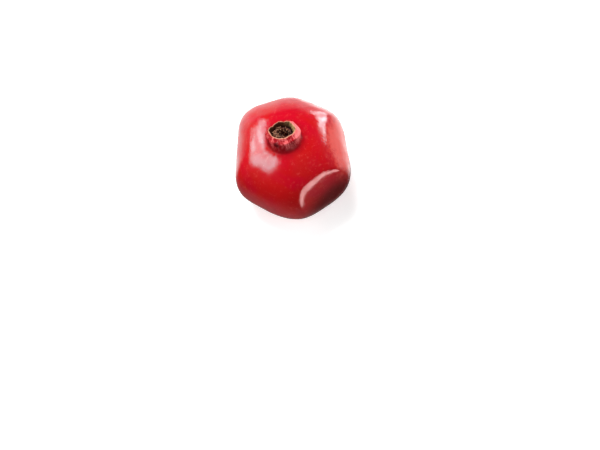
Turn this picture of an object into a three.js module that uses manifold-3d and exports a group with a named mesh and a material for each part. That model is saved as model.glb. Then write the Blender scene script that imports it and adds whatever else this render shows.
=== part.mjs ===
// A whole pomegranate, standing crown up on a small flat spot and leaning a little to one side.
//
// Three pieces: the fruit, whose leathery rind grows on into the crown in one piece; the tuft of
// dried stamens left in the crown's cup; and the stub of woody stem in the dimple at the base.
// The fruit is a lathe outline whose vertices are then moved by formulas: blunt ridges from the
// base to the shoulder, flat facets, a bent crown with six worn sepals, and the flat spot.
// Millimetres, +Z up, -Y to the front. The origin is under the middle of the fruit's box, on the
// surface that it stands on.

import * as THREE from "three";
import { mergeVertices } from "three/addons/utils/BufferGeometryUtils.js";
import Module from "manifold-3d";

const wasm = await Module();
wasm.setup();

const DEG = Math.PI / 180;

// Driving dimensions.
const BODY_RADIUS = 41.3; // in the valleys between the ridges
const BODY_UP = 41; // from the widest level to where the top would close
const BODY_DOWN = 40.5; // from the widest level to the base
const BODY_SQUARENESS = 2.2; // 2 is an ellipse, and more is boxier
const NECK_RADIUS = 15; // where the body's shoulder turns up into the crown
const CROWN_RADIUS = 12.2; // at the crown's belly
const MOUTH_RADIUS = 9.4; // outside of the rim
const CROWN_TIP = 49; // height of the rim above the widest level
const WALL = 1.2; // thickness of the rim
const CUP_DEPTH = 13.5;
const CUP_RADIUS = MOUTH_RADIUS - 2 * WALL; // low down in the cup
const CUP_CORNER = { width: 1.1, rise: 0.4, height: 2 }; // where the cup's floor turns up
const STEM_RADIUS = 2.3;
const GAP = 0.3; // between the fruit and the pieces that sit in it

// How it stands.
const LEAN = 7.5 * DEG; // the crown leans this far towards -X
const FLAT_SPOT_RADIUS = 13.5;
const FLAT_SPOT_BLEND = 0.35; // height over which the skin rounds into the flat spot

// Ridges: azimuth round the axis from +X, half-width, and rise as a share of the radius.
const RIDGES = [
  { azimuth: 42.5, width: 21, rise: 0.14 },
  { azimuth: 90.5, width: 28.5, rise: 0.185 },
  { azimuth: 134, width: 22, rise: 0.235 },
  { azimuth: 207, width: 16.5, rise: 0.103 },
  { azimuth: 277, width: 20, rise: 0.063 },
  { azimuth: 337, width: 24, rise: 0.108 },
];
const RIDGE_FADE = 2.2; // how late the ridges die away towards the two ends

// Facets: the way each faces, how far it lies from the body's centre, how far its edge is rounded.
const FACETS = [
  { azimuth: 306, latitude: 18, distance: 40.8, rounding: 1.4 },
  { azimuth: 310.5, latitude: 8, distance: 39.7, rounding: 2 },
  { azimuth: 4, latitude: 31, distance: 42.3, rounding: 4 },
];
const FACET_REACH = 0.3; // cosine of the widest angle from its normal at which a facet can act

// Crown: a short tube that bends over. Each sepal has a keel down its middle, which makes the tube
// six-sided, and is worn down to a stub that stands a little out, with a notch on both sides.
const CROWN_BEND = 21 * DEG;
const CROWN_BEND_AZIMUTH = 100 * DEG;
const CROWN_SHIFT = new THREE.Vector3(-0.8, 0.3, 0); // of its axis, over the body
const SHOULDER_BEND = 0.3; // share of the bend that the shoulder takes, where it meets the crown
const SHOULDER_RADIUS = 30; // where on the body that share has faded out
const SEPALS = [
  { azimuth: 0, rise: 0.5, flare: 1.9 },
  { azimuth: 56, rise: 1.0, flare: 0.5 },
  { azimuth: 108, rise: 0.7, flare: 0.2 },
  { azimuth: 180, rise: 1.3, flare: 0.7 },
  { azimuth: 261, rise: 0.6, flare: 0.2 },
  { azimuth: 318, rise: 0.8, flare: 0.9 },
];
const NOTCH_WIDTH = 12 * DEG; // half-width
const KEEL = 0.4; // 0 is a round tube, and 1 has flat sides between the keels

// The crown's wall: how far out from its belly and up from the neck each row is, and how far the
// body's ridges, the bend, the keels and the sepals act on it.
const CROWN_WALL = [
  { out: 0.6, up: 0.9, ridge: 0.7, bend: 0.4, keel: 0.2, sepal: 0 },
  { out: 0, up: 2, ridge: 0.3, bend: 0.6, keel: 0.5, sepal: 0.1 },
  { out: 0.2, up: 4, ridge: 0, bend: 0.9, keel: 0.9, sepal: 0.5 },
  { out: 0, up: 6.2, ridge: 0, bend: 1, keel: 1, sepal: 0.9 },
];
// The rim, from outside to inside: how far in from the mouth's outside, in wall thicknesses, and
// down from the tip each row is, and how far the keels and the sepals act on it.
const CROWN_RIM = [
  { walls: -0.9, down: 2.8, keel: 1, sepal: 1 },
  { walls: 0, down: 1, keel: 1, sepal: 0.9 },
  { walls: 0.4, down: 0.6, keel: 1, sepal: 1 },
  { walls: 1, down: 1, keel: 1, sepal: 0.9 },
  { walls: 1.6, down: 3.5, keel: 0.7, sepal: 0.3 },
  { walls: 1.9, down: 6.5, keel: 0, sepal: 0 },
];

// Base: a dimple with a pocket for the stem stub.
const DIMPLE_DEPTH = 5;
const DIMPLE_RADIUS = 4.4;
const POCKET_DEPTH = 3.4;
const STEM_STANDS_PROUD = 0.5;
const STEM_CHAMFER = 0.5;

// Stamens: a dried lining in the cup, and rings of filaments that bend in and up from it. Each ring
// has the height of its roots, how far in its tips are, and their height.
const LINING_HEIGHT = 9.2;
const LINING_WALL = 0.9;
const LINING_FLOOR = 1.2;
const STAMEN_RINGS = [
  { count: 13, root: 2.2, reach: 3.6, tip: 4.6 },
  { count: 15, root: 5, reach: 2.6, tip: 7.2 },
  { count: 17, root: 7.8, reach: 1.8, tip: 9.6 },
];
const TUFT = { azimuth: 215 * DEG, width: 70 * DEG, rise: 1.6 }; // where they reach further up
const ROOT_DEPTH = 0.36; // of the roots in the lining
const KNEE = { share: 0.7, rise: 0.6 }; // how far in the filaments bend up, and above their roots
const SCATTER = { azimuth: 0.6, swing: 0.25, reach: 0.2, tip: 0.12 }; // of the stamens in a ring
const FILAMENT_RADIUS = 0.42;
const FILAMENT_SIDES = 3;
const ANTHER_RADIUS = 0.68;
const ANTHER_STRETCH = 1.5;
const SEED = 7;

// Fineness of the solids.
const SEGMENTS = 84;
const BODY_ROWS = 34;
const END_CROWDING = 0.35; // 0 spaces the body's rows evenly, and 1 packs them at its two ends
const LINING_SEGMENTS = 36;
const STEM_SEGMENTS = 12;
const HALVINGS = 50; // that find a latitude

// Finishes: colour and roughness.
const RIND = [0xc41426, 0.35];
const DRIED_STAMENS = [0x8a5a33, 0.85];
const STEM_WOOD = [0x6e4a2c, 0.9];

const lerp = (a, b, t) => a + (b - a) * t;
const turn = (a) => Math.atan2(Math.sin(a), Math.cos(a)); // the same angle within a half turn
const bump = (x) => Math.exp(-x * x);

// ---- The fruit's outline, from the pocket's floor out, up and over into the cup ----

// Distance from the body's centre to its plain surface, at a latitude.
function bodyReach(latitude) {
  const half = latitude < 0 ? BODY_DOWN : BODY_UP;
  const n = BODY_SQUARENESS;
  const across = Math.abs(Math.cos(latitude)) / BODY_RADIUS;
  const along = Math.abs(Math.sin(latitude)) / half;
  return (across ** n + along ** n) ** (-1 / n);
}

function bodyPoint(latitude) {
  const reach = bodyReach(latitude);
  const r = reach * Math.cos(latitude);
  const dimple = latitude < 0 ? DIMPLE_DEPTH * bump(r / DIMPLE_RADIUS) : 0;
  return new THREE.Vector2(r, reach * Math.sin(latitude) + dimple);
}

// The latitude where the plain surface has this radius, below (-1) or above (1) the widest level.
function latitudeAt(radius, side) {
  let inside = 0;
  let outside = (side * Math.PI) / 2;
  for (let i = 0; i < HALVINGS; i++) {
    const middle = (inside + outside) / 2;
    if (bodyPoint(middle).x > radius) inside = middle;
    else outside = middle;
  }
  return outside;
}

function ridgeWeight(latitude) {
  return Math.sqrt(1 - Math.abs(Math.sin(latitude)) ** RIDGE_FADE);
}

const POCKET_RADIUS = STEM_RADIUS + GAP;
const CUP_FLOOR = CROWN_TIP - CUP_DEPTH;
const baseLatitude = latitudeAt(POCKET_RADIUS, -1);
const neckLatitude = latitudeAt(NECK_RADIUS, 1);
const pocketMouth = bodyPoint(baseLatitude).y;
const neck = bodyPoint(neckLatitude).y;

// Rows of the outline. Each has its radius and height, and how far the body's ridges, the bend,
// the keels and the sepals act on it.
function outlineRows() {
  const rows = [];
  const add = (r, h, ridge = 0, bend = 0, keel = 0, sepal = 0, faceted = false) =>
    rows.push({ r, h, ridge, bend, keel, sepal, faceted });

  add(0, pocketMouth + POCKET_DEPTH);
  add(POCKET_RADIUS, pocketMouth + POCKET_DEPTH);

  for (let i = 0; i <= BODY_ROWS; i++) {
    const even = i / BODY_ROWS;
    const crowded = even - (END_CROWDING * Math.sin(2 * Math.PI * even)) / (2 * Math.PI);
    const latitude = lerp(baseLatitude, neckLatitude, crowded);
    const { x, y } = bodyPoint(latitude);
    const upShoulder = y > 0 ? Math.max(SHOULDER_RADIUS - x, 0) / (SHOULDER_RADIUS - NECK_RADIUS) : 0;
    add(x, y, ridgeWeight(latitude), SHOULDER_BEND * upShoulder ** 2, 0, 0, true);
  }

  const neckRidge = ridgeWeight(neckLatitude);
  for (const { out, up, ridge, bend, keel, sepal } of CROWN_WALL) {
    add(CROWN_RADIUS + out, neck + up, ridge * neckRidge, bend, keel, sepal);
  }
  for (const { walls, down, keel, sepal } of CROWN_RIM) {
    add(MOUTH_RADIUS - walls * WALL, CROWN_TIP - down, 0, 1, keel, sepal);
  }
  add(CUP_RADIUS, CUP_FLOOR + CUP_CORNER.height, 0, 1);
  add(CUP_RADIUS - CUP_CORNER.width, CUP_FLOOR + CUP_CORNER.rise, 0, 1);
  add(0, CUP_FLOOR, 0, 1);
  return rows;
}

// ---- What moves the outline's points as it goes round ----

const ridges = (azimuth) =>
  RIDGES.reduce((sum, ridge) => {
    return sum + ridge.rise * bump(turn(azimuth - ridge.azimuth * DEG) / (ridge.width * DEG));
  }, 0);

// The smaller of two lengths, with the corner between them rounded off.
function roundedMin(a, b, rounding) {
  const share = Math.max(rounding - Math.abs(a - b), 0) / rounding;
  return Math.min(a, b) - (share * share * rounding) / 4;
}

function facetNormal({ azimuth, latitude }) {
  const level = Math.cos(latitude * DEG);
  return new THREE.Vector3(
    level * Math.cos(azimuth * DEG),
    level * Math.sin(azimuth * DEG),
    Math.sin(latitude * DEG),
  );
}

// Pulls a point of the body in towards its centre, to the facets that it lies beyond.
function pressFacets(p) {
  const reach = p.length();
  let pressed = reach;
  for (const facet of FACETS) {
    const facing = p.dot(facetNormal(facet)) / reach;
    if (facing < FACET_REACH) continue;
    pressed = roundedMin(pressed, facet.distance / facing, facet.rounding);
  }
  return p.multiplyScalar(pressed / reach);
}

// The crown's section at an azimuth: the share of the radius that is left between two keels, how
// far the rim stands above the notches, and how far it flares out.
function crownSection(azimuth) {
  const after = SEPALS.findIndex((sepal) => sepal.azimuth * DEG > azimuth);
  const next = SEPALS[Math.max(after, 0)];
  const last = SEPALS.at(after < 0 ? -1 : after - 1);
  const past = azimuth - last.azimuth * DEG;
  const span = past + (next.azimuth * DEG - azimuth) + (after < 0 ? 2 * Math.PI : 0);
  const fromNotch = past - span / 2;
  const side = Math.cos(span / 2) / Math.cos(fromNotch);
  const nearer = fromNotch < 0 ? last : next;
  return {
    share: lerp(1, side, KEEL),
    rise: nearer.rise * (1 - bump(fromNotch / NOTCH_WIDTH)),
    flare: lerp(last.flare, next.flare, past / span),
  };
}

// Bends a point of the crown over, about the middle of its root.
const bendCentre = new THREE.Vector3(0, 0, neck);
const bendAxis = new THREE.Vector3(
  -Math.sin(CROWN_BEND_AZIMUTH),
  Math.cos(CROWN_BEND_AZIMUTH),
  0,
);
function bendCrown(p, share) {
  p.sub(bendCentre).applyAxisAngle(bendAxis, CROWN_BEND * share).add(bendCentre);
  return p.addScaledVector(CROWN_SHIFT, share);
}

// A point of the fruit, still upright, from its row and its azimuth.
function fruitPoint(row, azimuth) {
  const { share, rise, flare } = crownSection(azimuth);
  const swell = 1 + row.ridge * ridges(azimuth);
  const r = row.r * swell * lerp(1, share, row.keel) + row.sepal * flare;
  const h = row.h + row.sepal * rise;
  const p = new THREE.Vector3(r * Math.cos(azimuth), r * Math.sin(azimuth), h);
  return bendCrown(row.faceted ? pressFacets(p) : p, row.bend);
}

// ---- How it stands: leaning, and pressed flat where it rests ----

const leanAxis = new THREE.Vector3(0, 1, 0);
const flatSpotSag = FLAT_SPOT_RADIUS ** 2 / (2 * BODY_DOWN);
const lift = bodyReach(-Math.PI / 2 + LEAN) - flatSpotSag;

function stand(p) {
  p.applyAxisAngle(leanAxis, -LEAN);
  p.z += lift;
  return p;
}

function flatten(p) {
  const k = FLAT_SPOT_BLEND;
  if (p.z < -k) p.z = 0;
  else if (p.z < k) p.z = (p.z + k) ** 2 / (4 * k);
  return p;
}

// ---- Geometry helpers ----

// Moves every vertex of a geometry.
function moveVertices(geometry, move) {
  const position = geometry.getAttribute("position");
  for (let i = 0; i < position.count; i++) {
    const p = move(new THREE.Vector3().fromBufferAttribute(position, i), i);
    position.setXYZ(i, p.x, p.y, p.z);
  }
  return geometry;
}

function solidOf(geometry) {
  const bare = geometry.index ? geometry.toNonIndexed() : geometry.clone();
  for (const name of Object.keys(bare.attributes)) {
    if (name !== "position") bare.deleteAttribute(name);
  }
  const merged = mergeVertices(bare);
  return new wasm.Manifold(
    new wasm.Mesh({
      numProp: 3,
      vertProperties: merged.attributes.position.array,
      triVerts: new Uint32Array(merged.index.array),
    }),
  );
}

function geometryOf(solid) {
  const mesh = solid.getMesh();
  const geometry = new THREE.BufferGeometry();
  geometry.setAttribute("position", new THREE.BufferAttribute(mesh.vertProperties, 3));
  geometry.setIndex(new THREE.BufferAttribute(mesh.triVerts, 1));
  geometry.computeVertexNormals();
  return geometry;
}

// A lathe profile of radii and heights that starts and ends on the axis, turned upright about Z.
function turned(profile, segments) {
  const points = profile.map(([r, h]) => new THREE.Vector2(r, h));
  return new THREE.LatheGeometry(points, segments).rotateX(Math.PI / 2);
}

// ---- The three pieces ----

// LatheGeometry's vertices come segment after segment, with the rows of the outline in each.
function fruitGeometry() {
  const rows = outlineRows();
  const profile = rows.map((row) => [row.r, row.h]);
  return moveVertices(turned(profile, SEGMENTS), (p, i) => {
    const segment = Math.floor(i / rows.length) % SEGMENTS;
    const azimuth = (segment / SEGMENTS) * 2 * Math.PI;
    return flatten(stand(fruitPoint(rows[i % rows.length], azimuth)));
  });
}

// One stamen: a filament of few sides along a curve, with a blunt anther on its tip.
function stamenSolid(root, knee, tip) {
  const curve = new THREE.QuadraticBezierCurve3(root, knee, tip);
  const section = new THREE.Shape();
  for (let i = 0; i < FILAMENT_SIDES; i++) {
    const a = (i / FILAMENT_SIDES) * 2 * Math.PI;
    section.lineTo(FILAMENT_RADIUS * Math.cos(a), FILAMENT_RADIUS * Math.sin(a));
  }
  const filament = new THREE.ExtrudeGeometry(section, {
    steps: 2,
    bevelEnabled: false,
    extrudePath: curve,
  });
  const up = new THREE.Vector3(0, 0, 1);
  const facing = new THREE.Quaternion().setFromUnitVectors(up, curve.getTangent(1));
  const anther = new THREE.OctahedronGeometry(ANTHER_RADIUS);
  anther.scale(1, 1, ANTHER_STRETCH).applyQuaternion(facing).translate(tip.x, tip.y, tip.z);
  return solidOf(filament).add(solidOf(anther));
}

// The dried lining of the cup.
function liningSolid(outer, floor) {
  const corner = outer - CUP_CORNER.width;
  const profile = [
    [0, floor],
    [corner, floor + CUP_CORNER.rise],
    [outer, floor + CUP_CORNER.height],
    [outer, floor + LINING_HEIGHT],
    [outer - LINING_WALL, floor + LINING_HEIGHT],
    [outer - LINING_WALL, floor + LINING_FLOOR + CUP_CORNER.height],
    [corner - LINING_WALL, floor + LINING_FLOOR + CUP_CORNER.rise],
    [0, floor + LINING_FLOOR],
  ];
  return solidOf(turned(profile, LINING_SEGMENTS));
}

// The lining with the stamens that stand out of it, in one body.
function stamensGeometry() {
  const outer = CUP_RADIUS - GAP;
  const floor = CUP_FLOOR + GAP;
  const at = (r, h, a) => new THREE.Vector3(r * Math.cos(a), r * Math.sin(a), floor + h);
  const random = THREE.MathUtils.seededRandom;
  const spread = (share) => 1 + share * (2 * random() - 1);

  let tuft = liningSolid(outer, floor);
  random(SEED);
  for (const ring of STAMEN_RINGS) {
    for (let i = 0; i < ring.count; i++) {
      const azimuth = ((i + SCATTER.azimuth * random()) / ring.count) * 2 * Math.PI;
      const swing = SCATTER.swing * (2 * random() - 1);
      const reach = ring.reach * spread(SCATTER.reach);
      const root = at(outer - ROOT_DEPTH, ring.root, azimuth);
      const knee = at(outer - KNEE.share * reach, ring.root + KNEE.rise, azimuth);
      const rise = TUFT.rise * bump(turn(azimuth - TUFT.azimuth) / TUFT.width);
      const high = ring.tip * spread(SCATTER.tip) + rise;
      const tip = at(outer - reach, high, azimuth + swing);
      tuft = tuft.add(stamenSolid(root, knee, tip));
    }
  }
  return moveVertices(geometryOf(tuft), (p) => stand(bendCrown(p, 1)));
}

// The woody stub: a peg in the pocket, whose cut end shows in the dimple.
function stemGeometry() {
  const top = pocketMouth + POCKET_DEPTH - GAP;
  const end = pocketMouth - STEM_STANDS_PROUD;
  const stub = [
    [0, end],
    [STEM_RADIUS - STEM_CHAMFER, end],
    [STEM_RADIUS, end + STEM_CHAMFER],
    [STEM_RADIUS, top],
    [0, top],
  ];
  return moveVertices(turned(stub, STEM_SEGMENTS), stand);
}

// ---- The object ----

function piece(name, geometry, [color, roughness]) {
  const material = new THREE.MeshStandardMaterial({ color, roughness, metalness: 0 });
  const mesh = new THREE.Mesh(geometry, material);
  mesh.name = name;
  return mesh;
}

const pomegranate = new THREE.Group();
pomegranate.add(
  piece("fruit", fruitGeometry(), RIND),
  piece("stamens", stamensGeometry(), DRIED_STAMENS),
  piece("stem", stemGeometry(), STEM_WOOD),
);

const middle = new THREE.Box3().setFromObject(pomegranate).getCenter(new THREE.Vector3());
for (const mesh of pomegranate.children) mesh.geometry.translate(-middle.x, -middle.y, 0);

export default pomegranate;
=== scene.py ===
"""A whole pomegranate, standing crown up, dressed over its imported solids.

The rind is one fine mesh with the outline, ridges, facets and crown of its solid, and with
undulations, puckers and flutes on them. The crown's cup holds a dry wrinkled lining and a tuft of
stamens, and a stub of bark sits in the dimple underneath.

The form is worked out in millimetres, upright, and then stood up as the part is. mesh_object()
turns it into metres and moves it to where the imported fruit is.
"""

import math
import random

import bpy
import numpy as np
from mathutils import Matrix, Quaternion, Vector, noise

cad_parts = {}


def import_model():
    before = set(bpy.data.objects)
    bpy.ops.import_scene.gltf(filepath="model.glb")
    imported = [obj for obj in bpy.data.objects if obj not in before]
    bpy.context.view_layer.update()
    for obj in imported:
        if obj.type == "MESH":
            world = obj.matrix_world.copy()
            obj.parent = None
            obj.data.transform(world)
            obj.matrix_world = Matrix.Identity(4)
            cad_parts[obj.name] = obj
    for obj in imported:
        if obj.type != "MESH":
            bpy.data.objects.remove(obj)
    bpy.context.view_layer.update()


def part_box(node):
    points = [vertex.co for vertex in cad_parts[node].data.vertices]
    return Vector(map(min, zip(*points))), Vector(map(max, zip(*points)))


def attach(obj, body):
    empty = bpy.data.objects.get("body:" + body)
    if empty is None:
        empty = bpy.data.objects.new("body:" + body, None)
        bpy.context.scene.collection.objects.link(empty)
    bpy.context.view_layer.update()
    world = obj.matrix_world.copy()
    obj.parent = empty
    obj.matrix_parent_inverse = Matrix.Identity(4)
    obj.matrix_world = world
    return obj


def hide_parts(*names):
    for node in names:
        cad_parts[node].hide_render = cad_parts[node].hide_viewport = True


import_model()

MM = 0.001
TURN = 2 * math.pi
TINY = 1e-9  # keeps a division from being by 0

# The fruit's form, in millimetres and degrees, as in the part.
BODY_RADIUS = 41.3  # in the valleys between the ridges
BODY_UP = 41  # from the widest level to where the top would close
BODY_DOWN = 40.5  # from the widest level to the base
BODY_SQUARENESS = 2.2  # 2 is an ellipse, and more is boxier
NECK_RADIUS = 15  # where the body's shoulder turns up into the crown
CROWN_RADIUS = 12.2  # at the crown's belly
MOUTH_RADIUS = 9.4  # outside of the rim
CROWN_TIP = 49  # height of the rim above the widest level
WALL = 1.2  # thickness of the rim
CUP_DEPTH = 13.5
CUP_FLOOR = CROWN_TIP - CUP_DEPTH
CUP_RADIUS = MOUTH_RADIUS - 2 * WALL  # near the cup's floor
CUP_FLOOR_RADIUS = MOUTH_RADIUS - 2.9 * WALL  # inside the floor's rounded edge
STEM_RADIUS = 2.3
GAP = 0.3  # between the fruit and the pieces that sit in it
LEAN = math.radians(7.5)  # the crown leans this far towards -X
FLAT_SPOT_RADIUS = 13.5
FLAT_SPOT_BLEND = 0.35  # height over which the skin rounds into the flat spot

# Ridges: azimuth round the axis from +X, half-width, and rise as a share of the radius.
RIDGES = (
    (42.5, 21, 0.14),
    (90.5, 28.5, 0.185),
    (134, 22, 0.235),
    (207, 16.5, 0.103),
    (277, 20, 0.063),
    (337, 24, 0.108),
)
RIDGE_FADE = 2.2  # how late the ridges die away towards the two ends

# Facets: azimuth and latitude that each faces, distance from the body's centre, edge rounding.
FACETS = ((306, 18, 40.8, 1.4), (310.5, 8, 39.7, 2), (4, 31, 42.3, 4))
FACET_REACH = 0.3  # cosine of the widest angle from its normal at which a facet can act

# Crown: how it bends over, and its sepals' azimuth, rise above the notches and flare.
CROWN_BEND = math.radians(21)
CROWN_BEND_AZIMUTH = math.radians(100)
CROWN_SHIFT = (-0.8, 0.3)  # of its axis, over the body
SHOULDER_BEND = 0.3  # share of the bend that the shoulder takes, where it meets the crown
SHOULDER_RADIUS = 30  # where on the body that share has faded out
SHOULDER_CROWN = 0.15  # how much the shoulder counts as crown, where it meets it
SHOULDER_CROWN_RADIUS = 19  # where on the body that has faded out
SEPALS = (
    (0, 0.5, 1.9),
    (56, 1.0, 0.5),
    (108, 0.7, 0.2),
    (180, 1.3, 0.7),
    (261, 0.6, 0.2),
    (318, 0.8, 0.9),
)
NOTCH_WIDTH = math.radians(12)
PALE_LIT_SIDE = math.radians(12)  # the sepals on this side are paler, inside and out; on the outer wall this paleness also stands in for light falling on that side, as painted light
PALE_LIT_SIDE_WIDTH = math.radians(42)
KEEL = 0.4  # 0 is a round tube, and 1 has flat sides between the keels

# The dried tuft: the lining of the cup, and the stamens that grow out of it.
LINING_HEIGHT = 9.2
LINING_WALL = 0.9
LINING_RADIUS = CUP_RADIUS - GAP
LINING_FLOOR = CUP_FLOOR + GAP
STAMENS = 250
SEED = 7
ROOT_HEIGHTS = (2.4, 8.9)
TIP_RISE = (1.2, 3)  # how far above the roots the tips are
TIP_REACH = (-0.2, 2.1)  # how far in from the lining the tips are
TIP_SWING = 0.5  # how far round from its root a tip may be, in radians
KNEE_REACH = 0.4  # shares of the tip's reach and swing at which the middle of a stamen is pulled
KNEE_SWING = 0.2
TUFT_SIDE = math.radians(215)  # most of the stamens on the other side have broken off
TUFT_CROWDING = 1.1
TUFT_RISE = 1.6  # how much further up the stamens on that side reach
TUFT_WIDTH = math.radians(70)
FILAMENT_RADIUS = 0.15
FILAMENT_TAPER = (1.3, 0.8)  # shares of that radius at its root and tip
FILAMENT_MESH = (7, 6)  # steps along it and sides
ANTHER_LENGTH = 1.3
ANTHER_RADIUS = 0.25
ANTHER_FULLNESS = (0.7, 1.1)  # shares of that radius
ANTHER_ENDS = (0.3, math.pi - 0.2)  # the stretch of a half sine wave that its outline follows
ANTHER_BOW = (0.3, 0.9)  # how far up its middle is pushed
ANTHER_HANG = ((-1, 1), (-1, 1), (-0.7, 0.2))  # the spans that its direction is drawn from
ANTHER_MESH = (8, 7)

# Base.
DIMPLE_DEPTH = 5
DIMPLE_RADIUS = 4.4
POCKET_RADIUS = STEM_RADIUS + GAP
POCKET_DEPTH = 3.4
STEM_STANDS_PROUD = 0.5

# Fineness of the meshes: sides round the axis, and millimetres between rows.
SEGMENTS = 360
BODY_ROWS = 150
CROWN_STEP = 0.45
SLOPE_ROWS = 6  # how many of the body's last rows the crown's first slope is taken over
LINING_MESH = (200, 0.3)
STEM_MESH = (120, 0.15)
BISECTIONS = 50


# ---- Angles and directions ----


def azimuths(count):
    """A row of this many azimuths, all the way round."""
    return np.arange(count)[None, :] / count * TURN


def turn_from(centre, azimuth):
    """The angle from a centre to an azimuth, the shorter way round."""
    return np.angle(np.exp(1j * (azimuth - centre)))


def direction(azimuth, elevation):
    """The unit vector towards an azimuth and elevation in degrees."""
    azimuth, elevation = math.radians(azimuth), math.radians(elevation)
    level = math.cos(elevation)
    return level * math.cos(azimuth), level * math.sin(azimuth), math.sin(elevation)


# ---- The body's plain outline ----


def bell(x):
    """1 at 0, and smoothly down to 0 on both sides."""
    return np.exp(-x * x)


def smooth_step(x, low, high):
    """0 below low, 1 above high, and smooth between them."""
    share = np.clip((x - low) / (high - low), 0, 1)
    return share * share * (3 - 2 * share)


def body_reach(latitude):
    """Distance from the body's centre to its plain surface, at a latitude."""
    half = np.where(latitude < 0, BODY_DOWN, BODY_UP)
    across = np.abs(np.cos(latitude)) / BODY_RADIUS
    along = np.abs(np.sin(latitude)) / half
    return (across**BODY_SQUARENESS + along**BODY_SQUARENESS) ** (-1 / BODY_SQUARENESS)


def body_point(latitude):
    """Radius and height of the plain surface at a latitude, with the dimple in its base."""
    reach = body_reach(latitude)
    r = reach * np.cos(latitude)
    dimple = np.where(latitude < 0, DIMPLE_DEPTH * bell(r / DIMPLE_RADIUS), 0)
    return r, reach * np.sin(latitude) + dimple


def latitude_at(radius, side):
    """Where the plain surface has this radius, below (-1) or above (1) the widest level."""
    inside, outside = 0.0, side * math.pi / 2
    for _ in range(BISECTIONS):
        middle = (inside + outside) / 2
        if body_point(middle)[0] > radius:
            inside = middle
        else:
            outside = middle
    return outside


def ridge_weight(latitude):
    """How much of their rise the ridges have left at a latitude."""
    return np.sqrt(1 - np.abs(np.sin(latitude)) ** RIDGE_FADE)


BASE_LATITUDE = latitude_at(POCKET_RADIUS, -1)
NECK_LATITUDE = latitude_at(NECK_RADIUS, 1)
POCKET_MOUTH = float(body_point(BASE_LATITUDE)[1])
NECK = float(body_point(NECK_LATITUDE)[1])


# ---- The outline's rows ----

# Each row has these columns: radius, height, how far the ridges, the bend, the keels, the sepals
# and the facets act on it, how far up the crown's wall it is, how close to the rim's edge, and how
# deep in the cup.
COLUMNS = ("r", "h", "ridge", "bend", "keel", "sepal", "facet", "crown", "rim", "cup")


def body_rows():
    """The skin's rows, from the pocket's mouth to the neck."""
    latitude = np.linspace(BASE_LATITUDE, NECK_LATITUDE, BODY_ROWS)
    r, h = body_point(latitude)
    up_shoulder = np.where(h > 0, np.clip(SHOULDER_RADIUS - r, 0, None), 0)
    near_neck = 1 - smooth_step(r, NECK_RADIUS, SHOULDER_CROWN_RADIUS)
    columns = {
        "r": r,
        "h": h,
        "ridge": ridge_weight(latitude),
        "bend": SHOULDER_BEND * (up_shoulder / (SHOULDER_RADIUS - NECK_RADIUS)) ** 2,
        "facet": 1,
        "crown": np.where(h > 0, SHOULDER_CROWN * near_neck, 0),
    }
    return np.stack([columns.get(name, 0) + 0 * r for name in COLUMNS], axis=1)


def crown_knots():
    """The rows that the crown's outline passes through, from the shoulder to the cup's floor."""
    ridge = ridge_weight(NECK_LATITUDE)
    mouth, tip, wall = MOUTH_RADIUS, CROWN_TIP, WALL
    return [
        # r, h, ridge, bend, keel, sepal, facet, crown, rim, cup
        (CROWN_RADIUS + 0.6, NECK + 0.9, 0.7 * ridge, 0.4, 0.2, 0, 0, 0.25, 0, 0),
        (CROWN_RADIUS, NECK + 2, 0.3 * ridge, 0.6, 0.5, 0.1, 0, 0.6, 0, 0),
        (CROWN_RADIUS + 0.2, NECK + 4, 0, 0.9, 0.9, 0.5, 0, 0.9, 0, 0),
        (CROWN_RADIUS, NECK + 6.2, 0, 1, 1, 0.9, 0, 1, 0, 0),
        (mouth + 0.9 * wall, tip - 2.8, 0, 1, 1, 1, 0, 1, 0.1, 0),
        (mouth, tip - 1, 0, 1, 1, 0.9, 0, 1, 0.7, 0),
        (mouth - 0.4 * wall, tip - 0.6, 0, 1, 1, 1, 0, 1, 1, 0.1),
        (mouth - wall, tip - 1, 0, 1, 1, 0.9, 0, 1, 0.7, 0.3),
        (mouth - 1.6 * wall, tip - 3.5, 0, 1, 0.7, 0.3, 0, 1, 0.1, 0.6),
        (mouth - 1.9 * wall, tip - 6.5, 0, 1, 0, 0, 0, 1, 0, 0.8),
        (CUP_RADIUS, CUP_FLOOR + 2, 0, 1, 0, 0, 0, 1, 0, 1),
        (CUP_FLOOR_RADIUS, CUP_FLOOR + 0.4, 0, 1, 0, 0, 0, 1, 0, 1),
        (0, CUP_FLOOR, 0, 1, 0, 0, 0, 1, 0, 1),
    ]


def smooth_through(knots, step):
    """Rows about a step apart on a smooth curve through the knots, from the second knot on."""
    knots = np.array(knots, float)
    before, last = knots[:-1], 2 * knots[-1] - knots[-2]
    ahead = np.vstack([knots[2:], last])
    rows = []
    for k in range(1, len(knots) - 1):
        start, end = knots[k], knots[k + 1]
        length = math.dist(start[:2], end[:2])
        span_in = math.dist(before[k - 1][:2], start[:2])
        span_out = math.dist(end[:2], ahead[k][:2])
        slope_in = (end - before[k - 1]) * length / (length + span_in)
        slope_out = (ahead[k] - start) * length / (length + span_out)
        count = max(round(length / step), 1)
        # A cubic from start to end, with these slopes at its ends.
        for t in np.arange(count) / count:
            rows.append(
                (2 * t**3 - 3 * t**2 + 1) * start
                + (t**3 - 2 * t**2 + t) * slope_in
                + (3 * t**2 - 2 * t**3) * end
                + (t**3 - t**2) * slope_out
            )
    rows.append(knots[-1])
    rows = np.array(rows)
    rows[:, 2:] = np.clip(rows[:, 2:], 0, 1)
    return rows


def pocket_rows():
    """The stem's pocket, from the middle of its floor to just inside its mouth."""
    depths = POCKET_DEPTH * np.array([1, 1, 2 / 3, 1 / 3])
    rows = np.zeros((len(depths), len(COLUMNS)))
    rows[1:, COLUMNS.index("r")] = POCKET_RADIUS
    rows[:, COLUMNS.index("h")] = POCKET_MOUTH + depths
    return rows


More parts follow.
